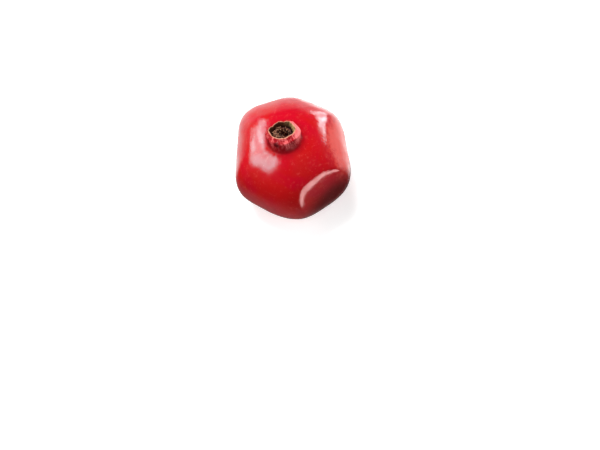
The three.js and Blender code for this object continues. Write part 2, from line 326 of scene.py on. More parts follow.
def outline():
    """All rows, from the middle of the pocket's floor, out and up, to the middle of the cup's."""
    body = body_rows()
    knots = np.vstack([body[-SLOPE_ROWS], body[-1], crown_knots()])
    rows = np.vstack([pocket_rows(), body[:-1], smooth_through(knots, CROWN_STEP)])
    return {name: rows[:, [i]] for i, name in enumerate(COLUMNS)}


# ---- What moves the outline's points as it goes round ----


def ridge_rise(azimuth):
    """How far the ridges swell the body at an azimuth, as a share of its radius."""
    rise = 0
    for centre, width, height in RIDGES:
        away = turn_from(math.radians(centre), azimuth)
        rise = rise + height * bell(away / math.radians(width))
    return rise


def crown_section(azimuth):
    """Share of the radius left between two keels, height of the rim above the notches, flare."""
    keels = np.radians([keel for keel, _, _ in SEPALS])
    rises = np.array([rise for _, rise, _ in SEPALS])
    flares = np.array([flare for _, _, flare in SEPALS])
    last = np.searchsorted(keels, azimuth, side="right") - 1
    following = (last + 1) % len(SEPALS)
    span = (keels[following] - keels[last]) % TURN
    past = azimuth - keels[last]
    from_notch = past - span / 2
    side = np.cos(span / 2) / np.cos(from_notch)
    nearer = np.where(from_notch < 0, last, following)
    rise = rises[nearer] * (1 - bell(from_notch / NOTCH_WIDTH))
    flare = flares[last] + (flares[following] - flares[last]) * past / span
    return side, rise, flare


def facet_reach(points, azimuth, latitude, distance):
    """How far from the body's centre the facet's plane lies, the way of each point."""
    facing = points @ np.array(direction(azimuth, latitude)) / np.linalg.norm(points, axis=-1)
    return np.where(facing > FACET_REACH, distance / np.maximum(facing, FACET_REACH), np.inf)


def press_facets(points):
    """Pulls points in towards the body's centre, to the facets that they lie beyond.

    Close to a facet's edge, where the two reaches differ by less than its rounding, they are pulled
    in a little more, which rounds the edge off.
    """
    reach = np.linalg.norm(points, axis=-1)
    pressed = reach.copy()
    for azimuth, latitude, distance, rounding in FACETS:
        facet = facet_reach(points, azimuth, latitude, distance)
        share = np.clip(rounding - np.abs(pressed - facet), 0, None) / rounding
        pressed = np.minimum(pressed, facet) - share**2 * rounding / 4
    return points * (pressed / reach)[..., None]


def turned(points, axis, angle):
    """Points turned about an axis through the origin, all by one angle or each by its own."""
    axis = np.array(axis, float)
    angle = np.asarray(angle)[..., None]
    along = (points @ axis)[..., None] * axis
    across = np.cross(axis, points)
    return points * np.cos(angle) + across * np.sin(angle) + along * (1 - np.cos(angle))


def bend_crown(points, share):
    """Points bent over as the crown is, by all of its bend or by a share of it for each."""
    root = np.array([0, 0, NECK])
    axis = (-math.sin(CROWN_BEND_AZIMUTH), math.cos(CROWN_BEND_AZIMUTH), 0)
    share = np.asarray(share)
    bent = turned(points - root, axis, CROWN_BEND * share) + root
    return bent + share[..., None] * np.array([*CROWN_SHIFT, 0])


def fruit_surface(rows, azimuth):
    """The fruit's plain surface, still upright: a point for each row and azimuth."""
    side, rise, flare = crown_section(azimuth)
    swell = 1 + rows["ridge"] * ridge_rise(azimuth)
    share = 1 + KEEL * rows["keel"] * (side - 1)
    r = rows["r"] * swell * share + rows["sepal"] * flare
    h = rows["h"] + rows["sepal"] * rise
    points = np.stack([r * np.cos(azimuth), r * np.sin(azimuth), h], axis=-1)
    points = np.where(rows["facet"][..., None] > 0, press_facets(points), points)
    return bend_crown(points, rows["bend"])


def stand(points):
    """Leans upright points over and lifts them so that the flat spot is at height 0."""
    sag = FLAT_SPOT_RADIUS**2 / (2 * BODY_DOWN)
    lift = float(body_reach(LEAN - math.pi / 2)) - sag
    return turned(points, (0, 1, 0), -LEAN) + np.array([0, 0, lift])


def flattened(points):
    """Points with all that is below height 0 brought up to it, over a smooth edge."""
    k = FLAT_SPOT_BLEND
    z = points[..., 2]
    blended = np.where(z < k, (z + k) ** 2 / (4 * k), z)
    return np.concatenate([points[..., :2], np.where(z < -k, 0, blended)[..., None]], axis=-1)


# ---- Relief that the solid leaves out ----

WAVES = ((17, 0.16), (6.5, 0.04), (2.3, 0.013))  # the skin's undulations: wavelength and height
WAVES_START = 2  # how far out from the pocket the undulations have come in
PUCKER_HEIGHT = 0.22
PUCKER_REACH = (14.5, 24)  # they run out over the shoulder between these radii
PUCKER_SIDE = (math.radians(228), math.radians(34), 0.15)  # where, how wide, share left elsewhere
PUCKERS_LOST = 0.6  # share of the puckers that is lost on the crown's wall
FLUTE_HEIGHT = 0.14
FLUTES_START = (0.1, 0.9)  # stretch of the crown's wall over which they come in
FINE_FLUTE_SHARE = 0.5
PLEAT_HEIGHT = 0.25  # of the folds inside the cup
PLEATS_START = (0.05, 0.4)  # stretches of the way down the cup over which they come in and end
PLEATS_END = (0.8, 1)
FRAY = 0.3  # how ragged the rim is
SINK = 0.11  # how far the relief is set in under the plain surface, to stay in the solid's box

# Noise that runs round the axis: how many bumps, the height over which it changes, and its seed.
PUCKERS = (58, 40, 3)
FLUTES = (30, 14, 11)
FINE_FLUTES = (72, 9, 17)
PLEATS = (30, 6, 23)
TEETH = (26, 1, 31)
FINE_TEETH = (75, 1, 37)

# Furrows in the dried pieces: the size and seed of each noise, its depth, and what its points are
# multiplied by, so that it is drawn out upwards.
LONG_WRINKLES = (0.9, 5)
SHORT_WRINKLES = (0.5, 9)
WRINKLE_DEPTH = 0.14
WRINKLE_SQUEEZE = (1, 1, 0.35)
BARK_GROOVES = (0.55, 2)
BARK_GROOVE_DEPTH = 0.16
BARK_CRACKS = (0.3, 4)
BARK_CRACK_DEPTH = 0.05
BARK_SQUEEZE = (1, 1, 0.3)


def noise_at(points, wavelength, seed=0):
    """Smooth noise from about -1 to 1 at each point, with bumps of this size."""
    scaled = points.reshape(-1, 3) / wavelength + seed
    return np.array([noise.noise(p) for p in scaled.tolist()]).reshape(points.shape[:-1])


def noise_round(azimuth, height, count, drift, seed):
    """Noise with about this many bumps round the axis, which change slowly with the height."""
    circle = count / TURN
    place = (circle * np.cos(azimuth), circle * np.sin(azimuth), height / drift)
    return noise_at(np.stack(np.broadcast_arrays(*place), axis=-1), 1, seed)


def normals_of(points):
    """Unit normals of a grid of points whose columns close on themselves."""
    down = np.gradient(points, axis=0)
    wrapped = np.concatenate([points[:, -1:], points, points[:, :1]], axis=1)
    along = np.gradient(wrapped, axis=1)[:, 1:-1]
    normals = np.cross(along, down)
    return normals / np.maximum(np.linalg.norm(normals, axis=-1, keepdims=True), TINY)


def undulations(points, rows):
    """The skin's soft waves, which leave out the pocket and the crown."""
    on_body = rows["facet"] * smooth_step(rows["r"], POCKET_RADIUS, POCKET_RADIUS + WAVES_START)
    return sum(height * noise_at(points, wavelength) for wavelength, height in WAVES) * on_body


def puckers_round_neck(rows, azimuth):
    """Folds that run out from the crown's foot, most of them on one side."""
    side, width, elsewhere = PUCKER_SIDE
    sided = elsewhere + (1 - elsewhere) * bell(turn_from(side, azimuth) / width)
    near_neck = (1 - smooth_step(rows["r"], *PUCKER_REACH)) * sided
    upper = (rows["h"] > 0) * (rows["rim"] == 0)
    return noise_round(azimuth, rows["h"], *PUCKERS) * near_neck * upper


def flutes_up_wall(rows, azimuth):
    """Coarse and fine grooves up the outside of the crown."""
    flutes = noise_round(azimuth, rows["h"], *FLUTES)
    return flutes + FINE_FLUTE_SHARE * noise_round(azimuth, rows["h"], *FINE_FLUTES)


def pleats_in_cup(rows, azimuth):
    """Folds down the inside of the cup's wall."""
    start = smooth_step(rows["cup"], *PLEATS_START)
    end = 1 - smooth_step(rows["cup"], *PLEATS_END)
    return noise_round(azimuth, rows["h"], *PLEATS) * start * end


def relief(points, rows, azimuth):
    """How far each point stands out from the plain surface, and its puckers' and flutes' crests."""
    puckers = puckers_round_neck(rows, azimuth)
    wall = smooth_step(rows["crown"], *FLUTES_START) * (1 - rows["cup"])
    flutes = flutes_up_wall(rows, azimuth) * wall
    height = undulations(points, rows)
    height = height + PUCKER_HEIGHT * puckers * (1 - PUCKERS_LOST * rows["crown"])
    height = height + FLUTE_HEIGHT * flutes
    height = height + PLEAT_HEIGHT * pleats_in_cup(rows, azimuth)
    return height - SINK, flutes + puckers * (1 - wall)


def frayed(rows, azimuth):
    """How far the rim is worn down at each azimuth, for each row."""
    level = 0 * rows["h"]
    teeth = noise_round(azimuth, level, *TEETH) + noise_round(azimuth, level, *FINE_TEETH)
    return FRAY * rows["sepal"] * teeth


def wrinkles(points):
    folds = noise_at(points * WRINKLE_SQUEEZE, *LONG_WRINKLES) + noise_at(points, *SHORT_WRINKLES)
    return -WRINKLE_DEPTH * np.abs(folds)


def bark_furrows(points):
    grooves = BARK_GROOVE_DEPTH * np.abs(noise_at(points * BARK_SQUEEZE, *BARK_GROOVES))
    return -grooves - BARK_CRACK_DEPTH * np.abs(noise_at(points, *BARK_CRACKS))


# ---- Meshes ----


def mesh_object(name, points, faces, attributes, material):
    """A mesh from points in millimetres, with a float attribute for each of its attributes."""
    mesh = bpy.data.meshes.new(name)
    mesh.from_pydata((points * MM + SHIFT).tolist(), [], faces)
    for title, values in attributes.items():
        layer = mesh.attributes.new(title, "FLOAT", "POINT")
        layer.data.foreach_set("value", np.asarray(values, np.float32).ravel())
    mesh.polygons.foreach_set("use_smooth", [True] * len(faces))
    mesh.materials.append(material)
    mesh.validate()
    thing = bpy.data.objects.new(name, mesh)
    bpy.context.scene.collection.objects.link(thing)
    return thing


def grid_faces(rows, columns):
    """Quads of a grid whose columns close on themselves, facing out if the rows go up."""
    faces = []
    for i in range(rows - 1):
        low, high = i * columns, (i + 1) * columns
        for j in range(columns):
            k = (j + 1) % columns
            faces.append((low + j, low + k, high + k, high + j))
    return faces


def closed_grid(grid):
    """The points and faces of a grid whose first and last row each come together in one point."""
    rows, columns = grid.shape[:2]
    middle = grid[1:-1].reshape(-1, 3)
    points = np.vstack([middle, grid[0, :1], grid[-1, :1]])
    faces = grid_faces(rows - 2, columns)
    first, last = len(middle), len(middle) + 1
    top = (rows - 3) * columns
    for j in range(columns):
        k = (j + 1) % columns
        faces.append((k, j, first))
        faces.append((top + j, top + k, last))
    return points, faces


def closed_values(grid):
    """The values of a closed grid's points, in their order."""
    return np.concatenate([grid[1:-1].ravel(), grid[0, :1], grid[-1, :1]])


def fruit(material):
    """The rind, with its crown and cup, and the masks that its material reads."""
    rows = outline()
    azimuth = azimuths(SEGMENTS)
    rows["h"] = rows["h"] - frayed(rows, azimuth)
    surface = fruit_surface(rows, azimuth)
    height, crests = relief(surface, rows, azimuth)
    surface = flattened(stand(surface + normals_of(surface) * height[..., None]))
    points, faces = closed_grid(surface)
    masks = {name: closed_values(rows[name] + 0 * azimuth) for name in ("crown", "rim", "cup")}
    masks["crest"] = closed_values(crests)
    on_pale_side = bell(turn_from(PALE_LIT_SIDE, azimuth) / PALE_LIT_SIDE_WIDTH)
    masks["pale"] = closed_values(on_pale_side * rows["crown"])
    return mesh_object("rind", points, faces, masks, material)


def lathe(name, knots, fineness, roughen, put_in_place, material):
    """A turned piece through these knots, roughened and then put in its place."""
    sides, step = fineness
    rows = smooth_through([knots[0], *knots], step)
    azimuth = azimuths(sides)
    r, h = rows[:, [0]], rows[:, [1]]
    circles = np.broadcast_arrays(r * np.cos(azimuth), r * np.sin(azimuth), h)
    plain = np.stack(circles, axis=-1)
    height = roughen(plain)
    grid = put_in_place(plain + normals_of(plain) * height[..., None])
    points, faces = closed_grid(grid)
    return mesh_object(name, points, faces, {"relief": closed_values(height)}, material)


def in_crown(points):
    """From the upright cup to where it is once the crown is bent and the fruit leans."""
    return stand(bend_crown(points, 1))


def lining(material):
    """The dry wrinkled skin that lines the cup."""
    base, top = LINING_FLOOR, LINING_FLOOR + LINING_HEIGHT
    corner = CUP_FLOOR_RADIUS - GAP
    knots = [
        # r, h
        (0, base),
        (corner, base + 0.4),
        (LINING_RADIUS, base + 2),
        (LINING_RADIUS + 0.1, top - 0.4),
        (LINING_RADIUS - 0.4 * LINING_WALL, top),
        (LINING_RADIUS - LINING_WALL, top - 0.4),
        (LINING_RADIUS - LINING_WALL - 0.3, base + 2.4),
        (corner - LINING_WALL, base + 1.5),
        (0, base + 1.2),
    ]
    return lathe("cup_lining", knots, LINING_MESH, wrinkles, in_crown, material)


def tube(path, radii, sides):
    """Points and faces of a closed round tube along a path of points."""
    askew = (0.3, 0.5, 0.8)  # any way that no tube starts out in
    ahead = np.gradient(path, axis=0)
    ahead /= np.linalg.norm(ahead, axis=1, keepdims=True)
    across = np.cross(ahead, np.cross(ahead[0], askew))
    across /= np.linalg.norm(across, axis=1, keepdims=True)
    other = np.cross(ahead, across)
    around = azimuths(sides).T
    circles = [
        point + radius * (np.cos(around) * u + np.sin(around) * v)
        for point, radius, u, v in zip(path, radii, across, other)
    ]
    grid = np.array([np.tile(path[0], (sides, 1)), *circles, np.tile(path[-1], (sides, 1))])
    return closed_grid(grid)


def curve_through(root, knee, tip, count):
    """Points on a curve from root to tip that is pulled towards the knee."""
    t = np.linspace(0, 1, count)[:, None]
    return (1 - t) ** 2 * root + 2 * t * (1 - t) * knee + t**2 * tip


def stamen_curve(draw):
    """Root, knee and tip of a stamen on the lining, and the end of the anther that it carries."""
    inner = LINING_RADIUS - LINING_WALL / 2
    azimuth = draw.vonmisesvariate(TUFT_SIDE, TUFT_CROWDING)
    swing = draw.uniform(-TIP_SWING, TIP_SWING)
    reach = draw.uniform(*TIP_REACH)
    low = draw.uniform(*ROOT_HEIGHTS)
    on_tuft = float(bell(turn_from(TUFT_SIDE, azimuth) / TUFT_WIDTH))
    high = low + draw.uniform(*TIP_RISE) + TUFT_RISE * on_tuft

    def at(r, h, a):
        return np.array([r * math.cos(a), r * math.sin(a), LINING_FLOOR + h])

    root = at(inner, low, azimuth)
    knee = at(inner - KNEE_REACH * reach, (low + high) / 2, azimuth + KNEE_SWING * swing)
    tip = at(inner - reach, high, azimuth + swing)
    hang = np.array([draw.uniform(*span) for span in ANTHER_HANG])
    return root, knee, tip, tip + hang / np.linalg.norm(hang) * ANTHER_LENGTH


def stamen_parts(draw):
    """A stamen's filament and anther: points, faces, whether it's the anther (0 or 1), tone."""
    root, knee, tip, end = stamen_curve(draw)
    tone = draw.random()
    steps, sides = FILAMENT_MESH
    taper = np.linspace(*FILAMENT_TAPER, steps) * FILAMENT_RADIUS
    filament = tube(curve_through(root, knee, tip, steps), taper, sides)
    steps, sides = ANTHER_MESH
    bow = (tip + end) / 2 + np.array([0, 0, draw.uniform(*ANTHER_BOW)])
    swell = np.sin(np.linspace(*ANTHER_ENDS, steps)) * draw.uniform(*ANTHER_FULLNESS)
    anther = tube(curve_through(tip, bow, end, steps), swell * ANTHER_RADIUS, sides)
    return (*filament, 0, tone), (*anther, 1, tone)


def stamens(material):
    """The tuft of stamens on the lining, in one mesh."""
    draw = random.Random(SEED)
    points, faces, are_anthers, tones = [], [], [], []
    start = 0
    for _ in range(STAMENS):
        for part_points, part_faces, is_anther, tone in stamen_parts(draw):
            points.append(part_points)
            faces.extend(tuple(start + corner for corner in face) for face in part_faces)
            are_anthers.append(np.full(len(part_points), is_anther))
            tones.append(np.full(len(part_points), tone))
            start += len(part_points)
    values = {"is_anther": np.concatenate(are_anthers), "tone": np.concatenate(tones)}
    return mesh_object("stamen_tuft", in_crown(np.vstack(points)), faces, values, material)


def stem(material):
    """The stub of bark in the dimple, with its cut end down."""
    top = POCKET_MOUTH + POCKET_DEPTH - GAP
    end = POCKET_MOUTH - STEM_STANDS_PROUD
    knots = [
        # r, h
        (0, end + 0.1),
        (0.82 * STEM_RADIUS, end + 0.1),
        (STEM_RADIUS - 0.1, end + 0.6),
        (STEM_RADIUS - 0.1, top - 0.3),
        (STEM_RADIUS - 0.5, top),
        (0, top),
    ]
    return lathe("stem_stub", knots, STEM_MESH, bark_furrows, stand, material)


# ---- Shader nodes ----


def feed(tree, socket, value):
    """Gives an input a value, or links it to the output of another node."""
    if isinstance(value, bpy.types.NodeSocket):
        tree.links.new(value, socket)
    else:
        socket.default_value = (*value, 1) if socket.type == "RGBA" else value


def feed_all(tree, made, inputs):
    """Feeds a node's inputs by their names or numbers."""
    for name, value in inputs.items():
        feed(tree, made.inputs[name], value)


def node(tree, kind, inputs=None, **settings):
    """Adds a shader node. An input is a value, or the output of another node."""
    made = tree.nodes.new("ShaderNode" + kind)
    for name, value in settings.items():
        setattr(made, name, value)
    feed_all(tree, made, inputs or {})
    return made


def mixed(tree, share, first, second):
    """One colour over another, by a share that varies over the surface."""
    mix = node(tree, "Mix", data_type="RGBA")
    colours = [socket for socket in mix.inputs if socket.type == "RGBA"]
    for socket, value in zip([mix.inputs[0], *colours], [share, first, second]):
        feed(tree, socket, value)
    return next(socket for socket in mix.outputs if socket.type == "RGBA")


def ranged(tree, value, low, high, to_low=0.0, to_high=1.0):
    """A value's stretch from low to high, smoothly turned into one from to_low to to_high."""
    inputs = {
        "Value": value,
        "From Min": low,
        "From Max": high,
        "To Min": to_low,
        "To Max": to_high,
    }
    made = node(tree, "MapRange", inputs, interpolation_type="SMOOTHSTEP")
    return made.outputs["Result"]


def math_of(tree, operation, *values):
    made = node(tree, "Math", operation=operation)
    for socket, value in zip(made.inputs, values):
        feed(tree, socket, value)
    return made.outputs[0]


def product(tree, first, *others):
    for factor in others:
        first = math_of(tree, "MULTIPLY", first, factor)
    return first


def noise_of(tree, place, scale, detail=3.0, roughness=0.5, distortion=0.0):
    inputs = {
        "Vector": place,
        "Scale": scale,
        "Detail": detail,
        "Roughness": roughness,
        "Distortion": distortion,
    }
    return node(tree, "TexNoise", inputs).outputs[0]


def patches(tree, place, noise_settings, *span):
    """A noise, and the stretch of it that is turned into a share."""
    return ranged(tree, noise_of(tree, place, *noise_settings), *span)


def near(tree, place, centre, far, close):
    """1 close to a place on the surface, and 0 further than far from it."""
    apart = node(tree, "VectorMath", {0: place, 1: centre}, operation="DISTANCE")
    return ranged(tree, apart.outputs["Value"], far, close)


def component(tree, vector, axis):
    return node(tree, "SeparateXYZ", {"Vector": vector}).outputs[axis]


def facing_up(tree):
    """How far up the surface faces: 1 is up, and -1 is down."""
    return component(tree, node(tree, "NewGeometry").outputs["Normal"], "Z")


def attribute(tree, name):
    return node(tree, "Attribute", attribute_name=name).outputs["Fac"]


def bumped(tree, heights):
    """A normal from several heights, each with its depth in metres."""
    inputs = {"Strength": 1.0}
    for height, depth in heights:
        inputs.update({"Height": height, "Distance": depth})
        inputs["Normal"] = node(tree, "Bump", inputs).outputs["Normal"]
    return inputs["Normal"]


def place_on_mesh(tree):
    return node(tree, "TexCoord").outputs["Object"]


def new_material(name):
    """A material with its node tree and its shader."""
    material = bpy.data.materials.new(name)
    material.use_nodes = True
    return material, material.node_tree, material.node_tree.nodes["Principled BSDF"]


# ---- The rind's material ----

# A noise is given by its scale, detail, roughness and distortion. A span is a stretch of a noise or
# mask, from where it starts to where it ends, and then the shares that this becomes, if they aren't
# 0 and 1. A reach is how far from its place a patch starts, and how close it is full, in metres.

CRIMSON = (0.42, 0.002, 0.012)
SCARLET = (0.42, 0.005, 0.006)
BLOTCHES = (30, 3, 0.6, 0.8)
BLOTCHES_SPAN = (0.42, 0.62)
DEEP_RED = (0.24, 0.006, 0.003)  # lower down
DEEP_RED_HEIGHTS = (0.06, 0.01, 0, 0.9)  # in metres
PAINTED_LIGHT = (0.62, 0.05, 0.035)  # painted light and painted reflection: a salmon patch on the right side, where the skin catches the light and mirrors the bright surroundings
PAINTED_LIGHT_PLACE = (0.039, 0.002, 0.055)
PAINTED_LIGHT_REACH = (0.034, 0.008)
PAINTED_LIGHT_MOTTLES = (240, 4, 0.65)
PAINTED_LIGHT_MOTTLING = (1.4, -0.7)  # what those are multiplied by and then shifted by
PAINTED_LIGHT_SPAN = (0.2, 0.8, 0, 0.85)
PALE_FLECK = (0.55, 0.06, 0.05)
FLECKS = (340, 5, 0.7)
FLECKS_SPAN = (0.52, 0.76, 0, 0.45)
PAINTED_SHADE = (0.07, 0.003, 0.003)  # painted shade: a dark patch on the facet in front, under its upper edge, where that facet faces down and away from the light
PAINTED_SHADE_PLACE = (0.031, -0.029, 0.024)
PAINTED_SHADE_REACH = (0.04, 0.016)
PAINTED_SHADE_FACING = (0.54, 0.38, 0, 0.94)  # of how far up the skin faces: the shade is painted where it faces less up
LENTICEL = (0.5, 0.12, 0.08)
LENTICEL_SCALE = 430
LENTICEL_DOT = (0.16, 0.08)  # of the distance from the middle of a cell
LENTICELS_CHOSEN = (0.6, 0.7)  # of a random number for each cell
LENTICEL_STRENGTH = 0.35

CROWN_RED = (0.24, 0.003, 0.008)
CROWN_PALE = (0.86, 0.2, 0.2)
DRAWN_UP = (1, 1, 0.3)  # what places are multiplied by, so that a noise is drawn out upwards
STREAKS = (800, 4, 0.65, 0.3)
STREAKS_SPAN = (0.42, 0.9)
CREST_PALENESS = 0.25  # what a flute's crest and the pale sepals add to the streaks
# paler outside on the pale side: partly the sepals' own colour, partly painted light on the crown's
# lit side
SEPAL_PALENESS_AND_LIGHT = 0.8
WALL_SPAN = (0.2, 1, 0, 0.8)
PAINTED_FOLD_SHADE = (0.12, 0.003, 0.005)  # painted shade in the fold round the crown's foot
PAINTED_FOLD_SHADE_START = (0.05, 0.3)
PAINTED_FOLD_SHADE_END = (0.95, 0.4, 0, 0.65)
PAINTED_FOLD_SHADE_ON_PALE_SIDE = (0, 0.4, 1, 0.25)
SMUDGE = (0.05, 0.003, 0.004)  # a dark mark low on the crown
SMUDGE_PLACE = (-0.0124, -0.0116, 0.0859)
SMUDGE_REACH = (0.0038, 0.0012)
SMUDGE_STRENGTH = 0.85

RIM_BEIGE = (0.64, 0.28, 0.19)
RIM_BROWN = (0.42, 0.15, 0.08)
RIM_PATCHES = (900, 3)
RIM_PATCHES_SPAN = (0.45, 0.65)
RIM_SPAN = (0.65, 0.9)
CUP_PALE = (0.36, 0.24, 0.1)
CUP_OLIVE = (0.035, 0.009, 0.004)
# painted shade: the inside of the cup darkens deeper down, where shade falls
CUP_PAINTED_SHADE = (0.014, 0.002, 0.002)
CUP_SPAN = (0.1, 0.32)
CUP_PAINTED_SHADE_SPAN = (0.4, 0.8)
CUP_PALE_SPAN = (0.75, 0.35)
CUP_MOTTLES = (700, 3)
CUP_MOTTLES_SPAN = (0.35, 0.6, 0.3, 1)

DRY_RIM = (0.4, 0.8)
DRY_CUP = (0, 0.2)
DRY_ROUGHNESS = 0.85
WAX = (90, 3)
WAX_ROUGHNESS = (0.35, 0.65, 0.3, 0.42)
CROWN_ROUGHNESS = (0.2, 1, 0, 0.25)  # added to the wax's
CROWN_DULLNESS = (0.09, 0.2, 0, 0.85)  # how much of the coat the crown lacks
BLOOM = (130, 6, 0.65)  # the wax's coat, thinner and thicker
BLOOM_SPAN = (0.38, 0.6, 0.56, 0.96)
COAT_ROUGHNESS = 0.11
COAT_IOR = 1.5
RIND_SPECULAR = 0.015

LEATHER = (700, 3, 0.6)
LEATHER_DEPTH = 0.00008
PORE_SCALE = 1100
PORE_DEPTH = 0.00002
CREASE_DEPTH = 0.0004
RIND_GRAIN = (2600, 3, 0.6)
RIND_GRAIN_DEPTH = 0.000015


def lenticels(tree, place):
    """How strongly the skin's small pale dots show: one in some of the cells."""
    cells = node(tree, "TexVoronoi", {"Vector": place, "Scale": LENTICEL_SCALE})
    dots = ranged(tree, cells.outputs["Distance"], *LENTICEL_DOT)
    chosen = ranged(tree, component(tree, cells.outputs["Color"], "X"), *LENTICELS_CHOSEN)
    return product(tree, dots, chosen, LENTICEL_STRENGTH)


def skin_colour(tree, place):
    """Blotched red, deeper low down, with painted light on its right side, painted shade on the facet
    in front, flecks and lenticels.
    """
    colour = mixed(tree, patches(tree, place, BLOTCHES, *BLOTCHES_SPAN), CRIMSON, SCARLET)
    low_down = ranged(tree, component(tree, place, "Z"), *DEEP_RED_HEIGHTS)
    colour = mixed(tree, low_down, colour, DEEP_RED)
    # painted light and reflection: the right side is mixed towards a pale salmon, broken up by mottles
    mottles = noise_of(tree, place, *PAINTED_LIGHT_MOTTLES)
    mottling = math_of(tree, "MULTIPLY_ADD", mottles, *PAINTED_LIGHT_MOTTLING)
    painted_light_share = math_of(tree, "ADD", near(tree, place, PAINTED_LIGHT_PLACE, *PAINTED_LIGHT_REACH), mottling)
    colour = mixed(tree, ranged(tree, painted_light_share, *PAINTED_LIGHT_SPAN), colour, PAINTED_LIGHT)
    colour = mixed(tree, patches(tree, place, FLECKS, *FLECKS_SPAN), colour, PALE_FLECK)
    # painted shade on the facet in front, darkest where the skin faces down
    facing_down_shade = ranged(tree, facing_up(tree), *PAINTED_SHADE_FACING)
    facet_shade = product(tree, near(tree, place, PAINTED_SHADE_PLACE, *PAINTED_SHADE_REACH), facing_down_shade)
    colour = mixed(tree, facet_shade, colour, PAINTED_SHADE)
    return mixed(tree, lenticels(tree, place), colour, LENTICEL)


def with_crown_wall(tree, place, masks, streaks, colour):
    """The streaky outside of the crown over the skin's colour, paler on one side partly as painted
    light, with painted shade in its fold, and the smudge.
    """
    streaky = math_of(tree, "MULTIPLY_ADD", masks["crest"], CREST_PALENESS, streaks)
    # the pale side is paler, partly as painted light on the crown's lit side
    streaky = math_of(tree, "MULTIPLY_ADD", masks["pale"], SEPAL_PALENESS_AND_LIGHT, streaky)
    wall = mixed(tree, ranged(tree, streaky, *STREAKS_SPAN), CROWN_RED, CROWN_PALE)
    colour = mixed(tree, ranged(tree, masks["crown"], *WALL_SPAN), colour, wall)
    # painted shade in the fold round the crown's foot, less of it on the pale side
    fold_shade = product(
        tree,
        ranged(tree, masks["crown"], *PAINTED_FOLD_SHADE_START),
        ranged(tree, masks["crown"], *PAINTED_FOLD_SHADE_END),
        ranged(tree, masks["pale"], *PAINTED_FOLD_SHADE_ON_PALE_SIDE),
    )
    colour = mixed(tree, fold_shade, colour, PAINTED_FOLD_SHADE)
    smudge = product(tree, near(tree, place, SMUDGE_PLACE, *SMUDGE_REACH), SMUDGE_STRENGTH)
    return mixed(tree, smudge, colour, SMUDGE)


def with_rim_and_cup(tree, place, drawn_up, masks, colour):
    """The dry rim and the inside of the cup over the crown's colour, with painted shade deeper in the
    cup.
    """
    edge = mixed(tree, patches(tree, place, RIM_PATCHES, *RIM_PATCHES_SPAN), RIM_BEIGE, RIM_BROWN)
    colour = mixed(tree, ranged(tree, masks["rim"], *RIM_SPAN), colour, edge)
    # painted shade deeper in the cup
    inner = mixed(tree, ranged(tree, masks["cup"], *CUP_PAINTED_SHADE_SPAN), CUP_OLIVE, CUP_PAINTED_SHADE)
    pale = product(
        tree,
        masks["pale"],
        ranged(tree, masks["cup"], *CUP_PALE_SPAN),
        patches(tree, drawn_up, CUP_MOTTLES, *CUP_MOTTLES_SPAN),
    )
    inner = mixed(tree, pale, inner, CUP_PALE)
    return mixed(tree, ranged(tree, masks["cup"], *CUP_SPAN), colour, inner)


def rind_finish(tree, place, masks):
    """Waxy on the skin, duller on the crown, and dry on the rim and in the cup."""
    dry_rim = ranged(tree, masks["rim"], *DRY_RIM)
    dryness = math_of(tree, "MAXIMUM", dry_rim, ranged(tree, masks["cup"], *DRY_CUP))
    wax = patches(tree, place, WAX, *WAX_ROUGHNESS)
    waxy = math_of(tree, "ADD", wax, ranged(tree, masks["crown"], *CROWN_ROUGHNESS))
    dullness = ranged(tree, masks["crown"], *CROWN_DULLNESS)
    dullness = math_of(tree, "MAXIMUM", dryness, dullness)
    bloom = patches(tree, place, BLOOM, *BLOOM_SPAN)
    return {
        "Roughness": math_of(tree, "MAXIMUM", waxy, product(tree, dryness, DRY_ROUGHNESS)),
        "Coat Weight": product(tree, bloom, ranged(tree, dullness, 0, 1, 1, 0)),
        "Coat Roughness": COAT_ROUGHNESS,
        "Coat IOR": COAT_IOR,
        "Specular IOR Level": RIND_SPECULAR,
    }


def rind_relief(tree, place, creases):
    """Normals from the leathery skin, its pores and the crown's creases, with grain under the coat."""
    pores = node(tree, "TexVoronoi", {"Vector": place, "Scale": PORE_SCALE}, feature="SMOOTH_F1")
    heights = [
        (noise_of(tree, place, *LEATHER), LEATHER_DEPTH),
        (pores.outputs["Distance"], PORE_DEPTH),
        (creases, CREASE_DEPTH),
    ]
    grain = (noise_of(tree, place, *RIND_GRAIN), RIND_GRAIN_DEPTH)
    return {"Normal": bumped(tree, [*heights, grain]), "Coat Normal": bumped(tree, heights)}


def rind_material():
    material, tree, shader = new_material("rind")
    place = place_on_mesh(tree)
    masks = {name: attribute(tree, name) for name in ("crown", "rim", "cup", "crest", "pale")}
    drawn_up = node(tree, "Mapping", {"Vector": place, "Scale": DRAWN_UP}).outputs["Vector"]
    streaks = noise_of(tree, drawn_up, *STREAKS)
    colour = with_crown_wall(tree, place, masks, streaks, skin_colour(tree, place))
    colour = with_rim_and_cup(tree, place, drawn_up, masks, colour)
    feed_all(tree, shader, {"Base Color": colour})
    feed_all(tree, shader, rind_finish(tree, place, masks))
    feed_all(tree, shader, rind_relief(tree, place, product(tree, streaks, masks["crown"])))
    return material


# ---- The dried pieces' materials ----

STAMEN_ROOT = (0.05, 0.008, 0.006)
STAMEN_BROWN = (0.17, 0.042, 0.02)
STAMEN_SPAN = (0.6, 1.4)  # of its tone and mottles together
ANTHER_BROWN = (0.16, 0.045, 0.022)
ANTHER_TAN = (0.5, 0.25, 0.145)
ANTHER_SPAN = (0.7, 1.4)
STAMEN_MOTTLES = (1500, 2)
STAMEN_ROUGHNESS = (0, 1, 0.65, 0.9)
STAMEN_GRAIN = (3500, 3)
STAMEN_GRAIN_DEPTH = 0.00005

